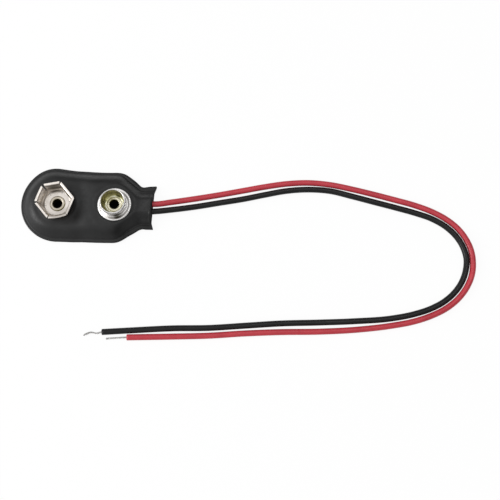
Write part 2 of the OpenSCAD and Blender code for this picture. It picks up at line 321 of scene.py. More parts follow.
def add_noise(tree, scale, detail, rough=0.55, stretch=(1, 1, 1)):
    place = tree.nodes.new("ShaderNodeTexCoord")
    mapping = tree.nodes.new("ShaderNodeMapping")
    mapping.inputs["Scale"].default_value = stretch
    texture = tree.nodes.new("ShaderNodeTexNoise")
    texture.inputs["Scale"].default_value = scale
    texture.inputs["Detail"].default_value = detail
    texture.inputs["Roughness"].default_value = rough
    tree.links.new(place.outputs["Object"], mapping.inputs["Vector"])
    tree.links.new(mapping.outputs["Vector"], texture.inputs["Vector"])
    return texture.outputs["Fac"]


def add_cells(tree, scale):
    place = tree.nodes.new("ShaderNodeTexCoord")
    texture = tree.nodes.new("ShaderNodeTexVoronoi")
    texture.inputs["Scale"].default_value = scale
    tree.links.new(place.outputs["Object"], texture.inputs["Vector"])
    return texture.outputs["Distance"]


# Colour that goes from dark to light with a noise
def add_tint(tree, source, dark, light):
    ramp = tree.nodes.new("ShaderNodeValToRGB")
    elements = ramp.color_ramp.elements
    for i, (place, colour) in enumerate(((NOISE_LOW, dark), (NOISE_HIGH, light))):
        elements[i].position = place
        elements[i].color = (*colour, 1)
    tree.links.new(source, ramp.inputs["Fac"])
    return ramp.outputs["Color"]


def add_range(tree, source, low, high, into):
    spread = tree.nodes.new("ShaderNodeMapRange")
    spread.inputs["From Min"].default_value = NOISE_LOW
    spread.inputs["From Max"].default_value = NOISE_HIGH
    spread.inputs["To Min"].default_value = low
    spread.inputs["To Max"].default_value = high
    tree.links.new(source, spread.inputs["Value"])
    tree.links.new(spread.outputs["Result"], into)


def add_bump(tree, shader, source, strength, depth, before=None):
    bump = tree.nodes.new("ShaderNodeBump")
    bump.inputs["Strength"].default_value = strength
    bump.inputs["Distance"].default_value = depth * MM
    tree.links.new(source, bump.inputs["Height"])
    if before:
        tree.links.new(before, bump.inputs["Normal"])
    tree.links.new(bump.outputs["Normal"], shader.inputs["Normal"])
    return bump.outputs["Normal"]


# Lets a second colour, a little spotted, take over where the attribute of wear and painted light goes from 0
# to 1, a darker one where it goes on to 2, and where it goes down to -1 a dark colour: painted shade on vinyl
# and a painted dark reflection on metal
WEAR_AND_SHADE = "wear_and_shade"
DEEP_WEAR_AND_SHADE = 0.12
SPOT_DARK = 0.7
# Painted dark reflection on the stud's outer wall
DARK_REFLECTION = (0.16, 0.15, 0.125)
# Painted shade of the vinyl
PAINTED_SHADE = (0.001, 0.001, 0.001)


def add_wear_and_shade(tree, colour, wear_and_shade, painted_dark):
    attribute = tree.nodes.new("ShaderNodeAttribute")
    attribute.attribute_name = WEAR_AND_SHADE
    deep = tuple(DEEP_WEAR_AND_SHADE * c for c in wear_and_shade)
    for start, end, tint in ((0, 1, wear_and_shade), (1, 2, deep), (0, -1, painted_dark)):
        share = tree.nodes.new("ShaderNodeMapRange")
        share.inputs["From Min"].default_value = start
        share.inputs["From Max"].default_value = end
        tree.links.new(attribute.outputs["Fac"], share.inputs["Value"])
        over = tree.nodes.new("ShaderNodeMix")
        over.data_type = "RGBA"
        tree.links.new(share.outputs["Result"], over.inputs["Factor"])
        tree.links.new(colour, over.inputs["A"])
        spots = add_noise(tree, scale=1400, detail=5)
        tree.links.new(add_tint(tree, spots, tuple(SPOT_DARK * c for c in tint), tint), over.inputs["B"])
        colour = over.outputs["Result"]
    return colour


# Vinyl, which goes over to a pale colour as a painted highlight, or a dark one as painted shade,
# where a pale one is given
VINYL_ROUGH = (0.36, 0.48)


def vinyl_material(name, dark, light, sheen, pale=None):
    material, tree, shader = new_material(name)
    colour = add_tint(tree, add_noise(tree, scale=260, detail=4), dark, light)
    if pale:
        colour = add_wear_and_shade(tree, colour, pale, PAINTED_SHADE)
    tree.links.new(colour, shader.inputs["Base Color"])
    shader.inputs["Specular IOR Level"].default_value = sheen
    add_range(tree, add_noise(tree, scale=900, detail=5), *VINYL_ROUGH, shader.inputs["Roughness"])
    waves = add_bump(tree, shader, add_noise(tree, scale=420, detail=3), strength=0.35, depth=0.12)
    add_bump(tree, shader, add_cells(tree, scale=3600), strength=0.22, depth=0.02, before=waves)
    return material


# Metal, which goes over to a colour of wear and painted shade, or to a painted dark reflection, where one is
# given
def metal_material(name, dark, light, rough_low, rough_high, wear_and_shade=None):
    material, tree, shader = new_material(name)
    colour = add_tint(tree, add_noise(tree, scale=700, detail=5), dark, light)
    add_range(tree, add_noise(tree, scale=1500, detail=6), rough_low, rough_high, shader.inputs["Roughness"])
    if wear_and_shade:
        colour = add_wear_and_shade(tree, colour, wear_and_shade, DARK_REFLECTION)
    tree.links.new(colour, shader.inputs["Base Color"])
    shader.inputs["Metallic"].default_value = 1
    dents = add_bump(tree, shader, add_noise(tree, scale=500, detail=2), strength=0.08, depth=0.012)
    lines = add_noise(tree, scale=2500, detail=4, rough=0.6, stretch=(1, 1, 7))
    add_bump(tree, shader, lines, strength=0.02, depth=0.01, before=dents)
    return material


# Writes each point's share of wear and painted light to the mesh, from its place
def paint_wear_and_shade(obj, share_at):
    places = np.array([v.co for v in obj.data.vertices]) / MM
    shares = np.clip(share_at(places), -1, 2)
    layer = obj.data.attributes.new(WEAR_AND_SHADE, "FLOAT", "POINT")
    layer.data.foreach_set("value", shares.astype(np.float32))


# Radius, height above the face and angle in degrees of places about a contact's axis
def about(x, places):
    radius = np.hypot(places[:, 0] - x, places[:, 1])
    angle = np.degrees(np.arctan2(places[:, 1], places[:, 0] - x))
    return radius, places[:, 2] - FACE_Z, angle


# One within reach of an angle, in degrees, and falling off outside
def towards(angle, middle, reach):
    off = (angle - middle + 180) % 360 - 180
    return np.exp(-(off / reach) ** 4)


# Smooth insulation of a lead
def insulation_material(name, dark, light, rough_low, rough_high, sheen):
    material, tree, shader = new_material(name)
    colour = add_tint(tree, add_noise(tree, scale=300, detail=3), dark, light)
    tree.links.new(colour, shader.inputs["Base Color"])
    add_range(tree, add_noise(tree, scale=1200, detail=4), rough_low, rough_high, shader.inputs["Roughness"])
    add_bump(tree, shader, add_noise(tree, scale=1800, detail=3), strength=0.15, depth=0.02)
    shader.inputs["Specular IOR Level"].default_value = sheen
    return material


# Fibre board with threads that run one way
def fibre_material(name, dark, light, rough_low, rough_high):
    material, tree, shader = new_material(name)
    threads = add_noise(tree, scale=1800, detail=5, rough=0.6, stretch=(1, 6, 1))
    tree.links.new(add_tint(tree, threads, dark, light), shader.inputs["Base Color"])
    add_range(tree, threads, rough_low, rough_high, shader.inputs["Roughness"])
    add_bump(tree, shader, threads, strength=0.3, depth=0.03)
    return material


# Each has its dark and light tone, and metal, insulation and fibre their least and greatest roughness
# The vinyl's pale colour is a painted highlight
VINYL = vinyl_material("soft_vinyl", (0.0095, 0.0096, 0.0098), (0.0155, 0.0157, 0.016), sheen=0.3,
                       pale=(0.04, 0.041, 0.0415))
# Darker vinyl of the cut edges: painted shade
SHADED_CUT_VINYL = vinyl_material("shaded_cut_vinyl", (0.003, 0.003, 0.0032), (0.0055, 0.0055, 0.0058), sheen=0.03)
# A metal's worn colour is painted shade on the socket and the eyelets, and brass darkened as painted shade
# inside the stud
NICKEL = metal_material("nickel_plate", (0.75, 0.695, 0.645), (0.88, 0.83, 0.775), 0.26, 0.4,
                        wear_and_shade=(0.09, 0.075, 0.055))
STUD_NICKEL = metal_material("nickel_over_brass", (0.74, 0.725, 0.71), (0.88, 0.865, 0.85), 0.26, 0.38,
                             wear_and_shade=(0.52, 0.5, 0.25))
BRASS = metal_material("pale_brass", (0.66, 0.625, 0.5), (0.8, 0.765, 0.62), 0.34, 0.48,
                       wear_and_shade=(0.24, 0.21, 0.08))
PLATED = metal_material("plated_brass", (0.68, 0.615, 0.55), (0.82, 0.755, 0.69), 0.34, 0.48,
                        wear_and_shade=(0.24, 0.21, 0.1))
TINNED = metal_material("tinned_copper", (0.35, 0.345, 0.335), (0.52, 0.51, 0.5), 0.3, 0.45)
SOLDER = metal_material("dull_solder", (0.45, 0.45, 0.46), (0.62, 0.62, 0.63), 0.3, 0.5)
RED_SKIN = insulation_material("red_insulation", (0.4, 0.024, 0.038), (0.48, 0.036, 0.052), 0.3, 0.38,
                               sheen=0.4)
BLACK_SKIN = insulation_material("black_insulation", (0.005, 0.005, 0.0053), (0.009, 0.009, 0.0095),
                                 0.26, 0.34, sheen=0.22)
FIBRE = fibre_material("vulcanised_fibre", (0.14, 0.07, 0.03), (0.24, 0.13, 0.06), 0.6, 0.8)


# A lead and its stripped far end, made together as a cord
def make_cord(colour, route, tip, skin, seed, spread):
    path = lead_path(route)
    strands = make_strands(f"{colour}_strands", tip, path, seed, spread)
    dress(strands, TINNED, "tinned_wire", f"{colour}_bare_end")
    obj = make_lead(f"{colour}_insulation", path)
    dress(obj, skin, f"{colour}_insulation", f"{colour}_lead")


make_cord("red", RED_ROUTE, RED_TIP, RED_SKIN, seed=3, spread=0.3)
make_cord("black", BLACK_ROUTE, BLACK_TIP, BLACK_SKIN, seed=8, spread=0.8)

# Outline of the cover, as in the part's source: round end, side, shoulder, diagonal, fillet and neck
ARCS_R = SHOULDER_R + NECK_R
SHOULDER_RISE = END_R - NECK_W / 2 - ARCS_R * (1 - math.cos(math.radians(SHOULDER_ANGLE)))
FILLET_X = NECK_X - NECK_LEN
SHOULDER_X = (FILLET_X - ARCS_R * math.sin(math.radians(SHOULDER_ANGLE))
              - SHOULDER_RISE / math.tan(math.radians(SHOULDER_ANGLE)))
FACE_INSET = RIM_W + RISE_W
NECK_STOPS = (0.12, 0.24, 0.36, 0.48, 0.6, 0.68, 0.74, 0.78, 0.82, 0.86, 0.9, 0.94, 0.97, 0.985)
END_STEPS = 40
SIDE_STEPS = 40
SHOULDER_STEPS = 12
DIAGONAL_STEPS = 10
FILLET_STEPS = 8


def arc_points(x, y, r, start, stop, steps):
    angles = np.radians(np.linspace(start, stop, steps + 1))
    return np.c_[x + r * np.cos(angles), y + r * np.sin(angles)]


def between(a, b, shares):
    return a + np.outer(shares, b - a)


# Upper half of the outline moved in by inset, from the neck's cut end to the round end
def half_outline(inset):
    end = arc_points(END_X, 0, END_R - inset, 180, 90, END_STEPS)
    shoulder = arc_points(SHOULDER_X, END_R - SHOULDER_R, SHOULDER_R - inset, 90, 90 - SHOULDER_ANGLE,
                          SHOULDER_STEPS)
    fillet = arc_points(FILLET_X, NECK_W / 2 + NECK_R, NECK_R + inset, 270 - SHOULDER_ANGLE, 270,
                        FILLET_STEPS)
    tip = np.array([NECK_X, NECK_W / 2 - inset])
    side = between(end[-1], shoulder[0], np.arange(1, SIDE_STEPS) / SIDE_STEPS)
    diagonal = between(shoulder[-1], fillet[0], np.arange(1, DIAGONAL_STEPS) / DIAGONAL_STEPS)
    neck = between(fillet[-1], tip, NECK_STOPS)
    return np.vstack([end, side, shoulder, diagonal, fillet, neck, tip])[::-1]


# How the soft sheets have crept from the drawn outline: the round end is swollen and shifted, and the neck is
# slanted, flared and pinched. RUN is where a change starts and where it is whole, AT its middle and width.
# A swell has its size, and its middle and width in degrees
END_RUN = (4, -9)
END_SHIFT = 0.42
END_WIDEN = 0.018
END_SWELLS = ((0.45, 133, 58), (0.22, 112, 22), (0.1, 205, 45))
SWELL_RUN = (0, -7)
NEAR_AXIS = 0.1
LEFT_SHIFT = -0.03
RIGHT_SHIFT = 0.1
SHIFT_RUN = (-3.5, -0.5)
SHOULDER_SHIFT = 0.1
SHOULDER_AT = (8.6, 1.9)
SHOULDER_SAG = 0.12
SAG_AT = (9, 1.6)
NECK_RUN = (11, NECK_X)
NECK_REACH = 1.3
NECK_SLANT = 0.28
NECK_BACK = 0.6
CORNER_FROM = 0.65
UPPER_CORNER = 0.7
LOWER_CORNER = 0.8
NECK_FLARE = 0.2
FLARE_RUN = (13.2, NECK_X)
UPPER_FLARE = 0.4
LOWER_FLARE = 0.8
NECK_LIFT = 0.26
LIFT_RUN = (5, 13.5)
LOWER_LIFT = 0.6
NECK_PINCH = 0.3
UPPER_PINCH_AT = (12.1, 0.9)
LOWER_PINCH_AT = (13.5, 0.8)
LOWER_PINCH = 0.43


def neck_shift(y):
    across = y / (NECK_W / 2)
    corners = (UPPER_CORNER * smoothstep(CORNER_FROM, 1, across)
               + LOWER_CORNER * smoothstep(-CORNER_FROM, -1, across))
    return NECK_SLANT * across - NECK_BACK * (1 - corners)


def creep(points):
    x, y = points[:, 0], points[:, 1]
    end = smoothstep(*END_RUN, x)
    neck = smoothstep(*NECK_RUN, x)
    flare = smoothstep(*FLARE_RUN, x)
    lift = smoothstep(*LIFT_RUN, x)
    upper = np.clip(y / (NECK_W / 2), 0, NECK_REACH)
    lower = np.clip(-y / (NECK_W / 2), 0, NECK_REACH)
    from_end = np.hypot(x - END_X, y)
    angle = np.degrees(np.arctan2(y, x - END_X)) % 360
    swell = sum(size * hump(middle, width, angle) for size, middle, width in END_SWELLS)
    swell = swell * smoothstep(*SWELL_RUN, x) * (from_end / END_R) ** 2 / np.maximum(from_end, NEAR_AXIS)
    moved = points.copy()
    moved[:, 0] = x + neck * neck_shift(y) + swell * (x - END_X)
    shift = LEFT_SHIFT + RIGHT_SHIFT * smoothstep(*SHIFT_RUN, x) + SHOULDER_SHIFT * hump(*SHOULDER_AT, x)
    pinch = hump(*UPPER_PINCH_AT, x) * upper + LOWER_PINCH * hump(*LOWER_PINCH_AT, x) * lower
    moved[:, 1] = (shift + y * (1 + END_WIDEN * end) + END_SHIFT * end + swell * y
                   + NECK_FLARE * flare * (UPPER_FLARE * upper - LOWER_FLARE * lower)
                   + NECK_LIFT * lift * (upper - LOWER_LIFT * lower)
                   + SHOULDER_SAG * hump(*SAG_AT, x) * lower
                   - NECK_PINCH * pinch)
    return moved


# Height of the outer or inner surface at a level: it settles towards the neck, puffs between the contacts
# and round them, dips on either side of the leads, and has a lip and a rounded edge at the neck's cut end.
# A cushion has the middle of its contact and the radius of the contact's foot
SETTLE_X = 10.35
SETTLE_DROP = 0.6
PUFF_H = 0.5
PUFF_AT = (0.5, 2.1)
PUFF_RUN = (8.2, 3)
NECK_DIP = 0.65
DIP_RUN = (10.2, 12.6)
DIP_AT = (2.9, 0.8)
CUSHION_H = 0.16
CUSHION_W = 0.6
CUSHION_OUT = 0.75
CUSHIONS = ((STUD_X, 3.8), (SOCKET_X, 3.3))
RIPPLE_H = 0.07
RIPPLE_SCALE = 0.28
RIPPLE_SLICE = 3.7
NECK_LIP_H = 0.14
NECK_LIP_AT = (NECK_X - 0.36, 0.18)
CUT_ROUND = 0.14
CUT_DROP = 0.11


def surface_heights(points, inset, level, top):
    x, y = points[:, 0], points[:, 1]
    level = pillow_level(inset, x) if level is None else np.full(len(x), level)
    share = np.clip((level - RIM_Z) / (top - RIM_Z), 0, 1)
    settled = level - SETTLE_DROP * share * np.clip((x - SETTLE_X) / (NECK_X - SETTLE_X), 0, 1)
    puff = PUFF_H * hump(*PUFF_AT, x) * smoothstep(*PUFF_RUN, np.abs(y))
    dip = NECK_DIP * smoothstep(*DIP_RUN, x) * hump(*DIP_AT, np.abs(y))
    ring = 0
    for centre, radius in CUSHIONS:
        away = np.hypot(x - centre, y)
        ring = ring + CUSHION_H * hump(radius + CUSHION_OUT, CUSHION_W, away)
    ripple = np.array([noise.noise(Vector((a * RIPPLE_SCALE, b * RIPPLE_SCALE, RIPPLE_SLICE)))
                       for a, b in zip(x, y)])
    lip = NECK_LIP_H * hump(*NECK_LIP_AT, x)
    past = np.clip((x - NECK_X) / CUT_ROUND + 1, 0, 1) if top == FACE_Z else 0
    relief = puff + ring - dip + lip + RIPPLE_H * ripple
    return settled + share * relief - CUT_DROP * (1 - np.sqrt(1 - past**2))


# One curved sheet of the cover: rings in from the edge, then strips across, all over the neck's open end
STRIPS = 36


def sheet_surface(levels, top, start):
    rings = []
    for inset, level in levels:
        half = half_outline(inset)
        flat = np.vstack([half, (half * [1, -1])[-2::-1]])
        rings.append(np.c_[creep(flat), surface_heights(flat, inset, level, top)])
    count = len(rings[0])
    half_count = (count + 1) // 2
    points = list(np.vstack(rings))
    index = [[start + k * count + i for i in range(count)] for k in range(len(rings))]
    faces = []
    for k in range(len(rings) - 1):
        for i in range(count - 1):
            faces.append((index[k][i], index[k][i + 1], index[k + 1][i + 1], index[k + 1][i]))
    half = half_outline(levels[-1][0])
    rows = []
    for j in range(half_count - 1):
        across = np.linspace(half[j], half[j] * [1, -1], STRIPS + 1)[1:-1]
        first = start + len(points)
        points += list(np.c_[creep(across), surface_heights(across, *levels[-1], top)])
        rows.append([index[-1][j]] + list(range(first, first + STRIPS - 1)) + [index[-1][count - 1 - j]])
    rows.append([index[-1][half_count - 1]] * (STRIPS + 1))
    for j in range(half_count - 1):
        for m in range(STRIPS):
            face = (rows[j][m], rows[j + 1][m], rows[j + 1][m + 1], rows[j][m + 1])
            faces.append(tuple(dict.fromkeys(face)))
    profile = [ring[0] for ring in index] + rows[0][1:-1] + [ring[-1] for ring in index[::-1]]
    return points, faces, index[0], profile


# Outer levels: weld line and soft edge, then up to the face; inner levels one sheet inside, as many of them
RISE_STEPS = 34
EDGE_STEPS = 6
EDGE_R = 0.26
# Insets of the groove along the weld, and how far above or below the weld they are
WELD_GROOVE = ((0.07, 0), (0.015, 0.07), (0, 0.16))


def outer_levels():
    levels = [(inset, WELD_Z + away) for inset, away in WELD_GROOVE]
    for a in np.radians(np.linspace(0, 90, EDGE_STEPS + 1)):
        levels.append((EDGE_R * (1 - math.cos(a)), RIM_Z - EDGE_R + EDGE_R * math.sin(a)))
    for inset in np.linspace(EDGE_R, FACE_INSET, RISE_STEPS + 1)[1:]:
        levels.append((inset, None))
    return levels


# Height of the pillow between edge and face: at the neck a low bead and a crease, elsewhere no bead
RISE_START = 0.95
RISE_NARROW = 0.4
RISE_BEND = 0.62
BEAD_LEAN = 0.8
PLAIN_RUN = (9.2, 6.5)


def pillow_level(inset, x):
    plain = smoothstep(*PLAIN_RUN, x)
    rise_start = RISE_START - RISE_NARROW * plain
    in_bead = np.clip((inset - EDGE_R) / (rise_start - EDGE_R), 0, 1)
    bead = BEAD_H * (1 - plain) * np.sin(math.pi * in_bead**BEAD_LEAN) ** 2
    in_rise = np.clip((inset - rise_start) / (FACE_INSET - rise_start), 0, 1)
    return RIM_Z + bead + (FACE_Z - RIM_Z) * np.sin(math.pi / 2 * in_rise**RISE_BEND) ** 2


def inner_levels(count):
    roof = FACE_Z - SHEET_T
    low_inset = RIM_W + SHEET_T
    levels = []
    for a in np.radians(np.linspace(0, 90, count)):
        rise = math.sin(a)
        levels.append((FACE_INSET - (FACE_INSET - low_inset) * math.cos(a), WELD_Z + (roof - WELD_Z) * rise))
    return levels


# Closed sheet of two surfaces with as many levels each, joined round the edge and at the neck's end
def two_sided(levels, top, other_levels, other_top):
    points, faces, foot, profile = sheet_surface(levels, top, 0)
    more, walls, other_foot, other_profile = sheet_surface(other_levels, other_top, len(points))
    for a, b in ((foot, other_foot), (profile, other_profile)):
        for i in range(len(a) - 1):
            walls.append((a[i], a[i + 1], b[i + 1], b[i]))
    return points + more, faces + walls


# Painted light on the vinyl, each patch with its share and its middle and width in x and y: a painted
# highlight between the contacts, and painted shade along the upper edge, low on the right, at the neck and
# beside the socket
VINYL_PAINTED_LIGHT = (
    (0.85, (-0.3, 1.7), (0.5, 4.5)),
    (-0.8, (1, 5.5), (6, 1.1)),
    (-0.9, (7.5, 2.6), (-6, 1.4)),
    (-1, (13.5, 1.8), (-4.1, 1)),
    (-0.8, (-2.3, 0.9), (-2.3, 1.8)))


def vinyl_painted_light(places):
    x, y = places[:, 0], places[:, 1]
    return sum(share * hump(*along, x) * hump(*across, y) for share, along, across in VINYL_PAINTED_LIGHT)


def make_front_sheet():
    outside = outer_levels()
    inside = inner_levels(len(outside))
    obj = new_object("front_sheet", *two_sided(outside, FACE_Z, inside, FACE_Z - SHEET_T))
    clean(obj)
    cut_rivet_holes(obj)
    shade(obj, SHEET_SHARP)
    paint_wear_and_shade(obj, vinyl_painted_light)
    dress(obj, VINYL, "vinyl", "front_cover")
    paint_edges(obj, front_edges)


# The cut edges of both sheets are duller than their faces, and darker as painted shade
EDGE_DEPTH = 0.12
END_DEPTH = 0.04


def front_edges(places):
    from_end = NECK_X + neck_shift(places[:, 1]) - places[:, 0]
    return (places[:, 2] < RIM_Z - EDGE_DEPTH) | (from_end < END_DEPTH)


def back_edges(places):
    return places[:, 2] > EDGE_DEPTH


def paint_edges(obj, is_edge):
    obj.data.materials.append(SHADED_CUT_VINYL)
    middles = np.array([face.center for face in obj.data.polygons]) / MM
    obj.data.polygons.foreach_set("material_index", is_edge(middles).astype(np.int32))


# Holes that the eyelets pass
HOLE_R = 1.35
HOLE_SIDES = 48
DRILL_LEN = 10


def cut_rivet_holes(obj):
    for x in (SOCKET_X, STUD_X):
        bpy.ops.mesh.primitive_cylinder_add(vertices=HOLE_SIDES, radius=HOLE_R * MM, depth=DRILL_LEN * MM,
                                            location=(x * MM, 0, FACE_Z * MM))
        drill = bpy.context.object
        cut = obj.modifiers.new("hole", "BOOLEAN")
        cut.operation = "DIFFERENCE"
        cut.object = drill
        apply_modifiers(obj)
        bpy.data.objects.remove(drill)


# Flat back sheet with a rounded lower edge
BACK_EDGE = 0.3
BACK_STEPS = 6
TOP_STEPS = 4


def make_back_sheet():
    angles = np.radians(np.linspace(0, 90, BACK_STEPS + 1))
    below = [(BACK_EDGE * (1 - math.cos(a)), BACK_EDGE * (1 - math.sin(a))) for a in angles]
    above = [(inset, WELD_Z - away) for inset, away in WELD_GROOVE[:0:-1]]
    above += [(inset, WELD_Z) for inset in np.linspace(WELD_GROOVE[0][0], BACK_EDGE, TOP_STEPS + 1)]
    obj = new_object("back_sheet", *two_sided(below, FACE_Z - SHEET_T, above, FACE_Z - SHEET_T))
    clean(obj)
    shade(obj, BACK_SHARP)
    dress(obj, VINYL, "vinyl", "rear_cover")
    paint_edges(obj, back_edges)


make_front_sheet()
make_back_sheet()


# Solid turned about a vertical axis from a closed half section of radii and heights
TURN_STEPS = 96


def turned(name, x, section):
    section = np.asarray(section)
    count = len(section)
    points, faces = [], []
    for k in range(TURN_STEPS):
        a = 2 * math.pi * k / TURN_STEPS
        points += [(x + r * math.cos(a), r * math.sin(a), z) for r, z in section]
        for i in range(count):
            j = (i + 1) % count
            following = (k + 1) % TURN_STEPS
            faces.append((k * count + i, k * count + j, following * count + j, following * count + i))
    obj = new_object(name, points, faces)
    clean(obj)
    return obj


# Stud: base flange with a rolled edge, neck, gripping band, rolled rim and open cup
STUD_R = 2.86
STUD_NECK_R = 2.69
STUD_WALL = 0.36
STUD_BAND_Z = 1.3
STUD_BAND_H = 0.9
STUD_H = 3.0
STUD_FLANGE_R = 3.8
FLANGE_ROLL = 0.16
FOOT_R = 0.25
BOWL_W = 0.72
BOWL_H = 1.15
STUD_LIP_DROP = 0.3
# Radii and heights where the flange dips to its base, the neck bends out and the band begins
FLANGE_DIP = ((3.3, CONTACT_T + 0.6 * FLANGE_ROLL), (3.12, CONTACT_T))
NECK_BEND = ((STUD_NECK_R, 0.95), (STUD_NECK_R + 0.05, 1.12), (STUD_R - 0.03, STUD_BAND_Z - 0.06))
BAND_START = (STUD_R, STUD_BAND_Z + 0.05)
ROLL_STEPS = 12
FOOT_STEPS = 8
RIM_ANGLES = np.radians(np.linspace(10, 90, 9))
LIP_ANGLES = np.radians(np.linspace(15, 90, 6))
BOWL_ANGLES = np.radians(np.linspace(0, 90, 15))


def stud_section():
    inner_r = STUD_R - STUD_WALL
    roll = CONTACT_T / 2 + FLANGE_ROLL / 2
    flange = arc_points(STUD_FLANGE_R - roll, roll, roll, -90, 90, ROLL_STEPS)
    foot = arc_points(STUD_NECK_R + FOOT_R, CONTACT_T + FOOT_R, FOOT_R, 270, 180, FOOT_STEPS)
    band_top = STUD_BAND_Z + STUD_BAND_H
    band = [BAND_START, (STUD_R, band_top)]
    rim_r = STUD_R - STUD_WALL / 2
    rim = [(rim_r + (STUD_R - rim_r) * math.cos(a), band_top + (STUD_H - band_top) * math.sin(a))
           for a in RIM_ANGLES]
    lip = [(rim_r - (rim_r - inner_r) * math.sin(a), STUD_H - STUD_LIP_DROP * (1 - math.cos(a)))
           for a in LIP_ANGLES]
    cup = np.c_[inner_r - BOWL_W * (1 - np.cos(BOWL_ANGLES)), CONTACT_T + BOWL_H * (1 - np.sin(BOWL_ANGLES))]
    hole = [(HOLE_R, CONTACT_T), (HOLE_R, 0)]
    return np.vstack([flange, FLANGE_DIP, foot, NECK_BEND, band, rim, lip, cup, hole]) + [0, FACE_Z]


# Eyelet: rolled tail, barrel and flange, with a flared mouth to its hole
RIVET_BORE_R = 1.025
RIVET_R = 1.3
RIVET_FLANGE_R = 1.75
RIVET_TAIL_R = 1.9
FLARE_R = 0.2
TAIL_EDGE = 0.1
TAIL_Z = rivet_low[2]
FLANGE_TOP = rivet_high[2]
FLANGE_T = 0.22
FLANGE_Z = FLANGE_TOP - FLANGE_T
TAIL_T = 0.3
BOARD_Z = TAIL_Z + TAIL_T
MOUTH_DEPTH = 0.15
CROWN_FULL = 0.7
CROWN_ANGLES = np.radians(np.linspace(0, 180, 21))
TAIL_STEPS = 5
FLARE_STEPS = 6


def rivet_section():
    tail = arc_points(RIVET_TAIL_R - TAIL_EDGE, TAIL_Z + TAIL_EDGE, TAIL_EDGE, 270, 360, TAIL_STEPS)
    barrel = [(RIVET_TAIL_R, BOARD_Z), (RIVET_R, BOARD_Z), (RIVET_R, FLANGE_Z)]
    crown_r = (RIVET_FLANGE_R + RIVET_BORE_R) / 2
    crown_w = (RIVET_FLANGE_R - RIVET_BORE_R) / 2
    crown_z = np.where(CROWN_ANGLES < math.pi / 2, FLANGE_Z, FLANGE_Z - MOUTH_DEPTH)
    out, up = np.cos(CROWN_ANGLES), np.sin(CROWN_ANGLES)
    crown = np.c_[crown_r + crown_w * np.sign(out) * np.abs(out) ** CROWN_FULL,
                  crown_z + (FLANGE_TOP - crown_z) * up**CROWN_FULL]
    foot = arc_points(RIVET_BORE_R + FLARE_R, TAIL_Z + FLARE_R, FLARE_R, 180, 270, FLARE_STEPS)
    return np.vstack([tail, barrel, crown, foot])


# Inside the cup the plating is thin and brass shows, darkened to olive as painted shade, deepest at two
# spots, with painted light on a side and on the floor away from the upper left; the outer wall gets painted
# dark reflections.
# A shade spot has its radius, angle and reach, and a reflection its share, angle and width
CUP_RUN = (STUD_R - 0.22, STUD_R - 0.34)
CUP_TOP_RUN = (3.0, 2.75)
CUP_SHARE = 0.9
# Painted shade deepest at two spots, and painted light on a side and on the floor
CUP_SHADE_SPOTS = ((2.05, 64, 16), (2.2, 168, 17))
SHADE_SPOT_SHARE = 1.1
SHADE_SPOT_W = 0.24
LIT_SIDE = 0.65
LIT_SIDE_AT = (25, 42)
LIT_SIDE_RUN = (2.2, 2.42)
LIT_FLOOR = 0.5
LIT_FLOOR_RUN = (2.05, 1.85)
SHADED_FLOOR_AT = (135, 30)
OUTSIDE_RUN = (STUD_NECK_R - 0.06, STUD_NECK_R - 0.02)
OUTSIDE_END_RUN = (3.45, 3.15)
# Painted dark reflections on the stud's outer wall: at its neck towards the back right, and on the front
NECK_REFLECTION = 0.8
NECK_REFLECTION_AT = (44, 22)
NECK_REFLECTION_Z = (0.8, 0.6)
WALL_REFLECTIONS = ((1, -75, 21), (0.3, -110, 11))
REFLECTION_TOP_RUN = (2.6, 1.6)


def stud_brass_and_painted_light(places):
    radius, height, angle = about(STUD_X, places)
    inside = smoothstep(*CUP_RUN, radius) * smoothstep(*CUP_TOP_RUN, height)
    spots = sum(hump(middle, SHADE_SPOT_W, radius) * towards(angle, *way) for middle, *way in CUP_SHADE_SPOTS)
    lit_side = towards(angle, *LIT_SIDE_AT) * smoothstep(*LIT_SIDE_RUN, radius)
    lit_floor = smoothstep(*LIT_FLOOR_RUN, radius) * (1 - towards(angle, *SHADED_FLOOR_AT))
    outside = smoothstep(*OUTSIDE_RUN, radius) * smoothstep(*OUTSIDE_END_RUN, radius)
    reflections = NECK_REFLECTION * hump(*NECK_REFLECTION_AT, angle) * hump(*NECK_REFLECTION_Z, height)
    reflections = reflections + sum(share * hump(middle, width, angle) for share, middle, width in WALL_REFLECTIONS)
    reflections = outside * reflections * smoothstep(*REFLECTION_TOP_RUN, height) * (1 - inside)
    wear_and_shade = CUP_SHARE + SHADE_SPOT_SHARE * spots - LIT_SIDE * lit_side - LIT_FLOOR * lit_floor
    return inside * wear_and_shade - reflections


# Eyelets get painted shade round the flange's edge, in the mouth of the hole and at the back; the shares of
# painted shade are those all over, at the edge and at the back
EYELET_SHARES = {"stud": (0.05, 0.2, 0.65), "socket": (0.42, 1, 0)}
EYELET_EDGE_W = 0.2
EYELET_EDGE = 0.3
EYELET_EDGE_SIDES = ((0.7, -50, 50), (0.3, 90, 40))
EYELET_BACK_AT = (135, 48)
EYELET_BACK_RUN = (RIVET_FLANGE_R, RIVET_FLANGE_R - 0.2)
MOUTH_SHARE = 0.8
MOUTH_RUN = (RIVET_BORE_R + 0.16, RIVET_BORE_R + 0.02)


def eyelet_painted_shade(x, dull, edge_share, back_share):
    def share_at(places):
        radius, _, angle = about(x, places)
        back = towards(angle, *EYELET_BACK_AT) * smoothstep(*EYELET_BACK_RUN, radius)
        mouth = smoothstep(*MOUTH_RUN, radius)
        sides = EYELET_EDGE + sum(share * towards(angle, *way) for share, *way in EYELET_EDGE_SIDES)
        edge = hump(RIVET_FLANGE_R, EYELET_EDGE_W, radius) * sides
        return dull + edge_share * edge + back_share * back + MOUTH_SHARE * mouth
    return share_at


